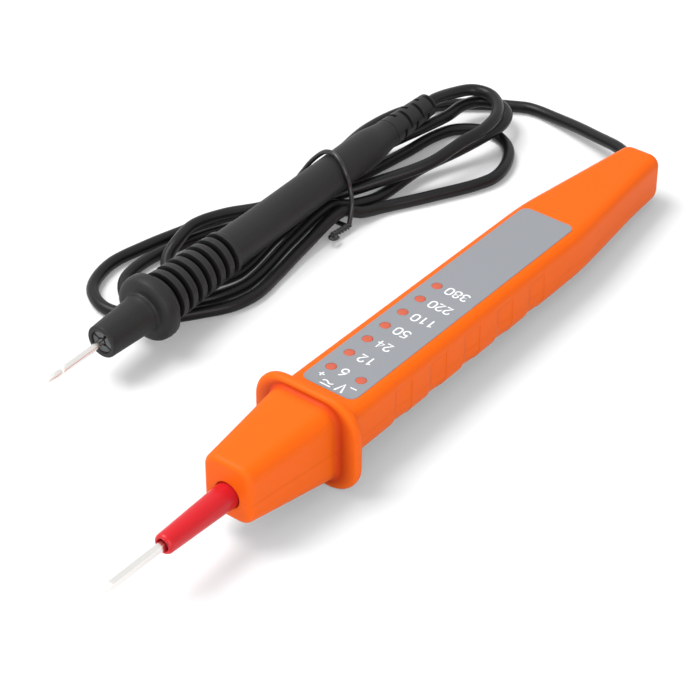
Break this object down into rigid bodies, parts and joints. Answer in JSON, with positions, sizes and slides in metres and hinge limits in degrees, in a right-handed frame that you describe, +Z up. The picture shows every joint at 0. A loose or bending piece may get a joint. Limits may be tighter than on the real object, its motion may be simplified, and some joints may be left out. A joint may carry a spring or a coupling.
{
  "type": "voltage tester",
  "caption": "Hand-held voltage tester with lamp display, finger guard, tip sleeve and a second probe on a flexible lead folded into a tied hank.",
  "frame": {"origin": "on the table under the middle of the tester and the second probe together, as both lie side by side; the free lead and its hank are not counted", "axes": "+X runs along both tools from their metal tips to their rear ends, +Y from the tester towards the second probe, +Z up from the table"},
  "size_m": [0.248, 0.1171, 0.0276],
  "materials": {
    "shell_orange": "satin",
    "label_grey": "matt",
    "sleeve_red": "gloss",
    "pin_nickel": "nickel plated",
    "pin_brass": "satin",
    "wire_red": "satin",
    "board_green": "satin",
    "lamp_coral": "frosted lens",
    "resistor_tan": "lacquer",
    "chip_black": "matt",
    "screw_steel": "zinc plated",
    "lead_black": "satin",
    "tie_black": "satin",
    "probe_black": "fine matt",
    "insert_grey": "satin"
  },
  "bodies": {
    "root": {"lower_shell": "shell_orange", "upper_shell": "shell_orange", "display_label": "label_grey", "tip_sleeve": "sleeve_red", "main_pin": "pin_nickel", "pin_collar": "pin_brass", "pin_wire": "wire_red", "circuit_board": "board_green", "lamp_1": "lamp_coral", "lamp_2": "lamp_coral", "lamp_3": "lamp_coral", "lamp_4": "lamp_coral", "lamp_5": "lamp_coral", "lamp_6": "lamp_coral", "lamp_7": "lamp_coral", "lamp_minus": "lamp_coral", "resistor_1": "resistor_tan", "resistor_2": "resistor_tan", "resistor_3": "resistor_tan", "resistor_4": "resistor_tan", "diode_1": "chip_black", "diode_2": "chip_black", "logic_chip": "chip_black", "shell_screw_1": "screw_steel", "shell_screw_2": "screw_steel", "shell_screw_3": "screw_steel", "lead_clamp": "screw_steel", "lead_tail": "lead_black", "lead": "lead_black", "lead_hank": "lead_black", "twist_tie": "tie_black", "probe_handle": "probe_black", "probe_insert": "insert_grey", "second_pin": "pin_nickel", "pin_ferrule": "pin_brass", "strain_relief": "probe_black", "lead_core": "lead_black"}
  },
  "joints": []
}
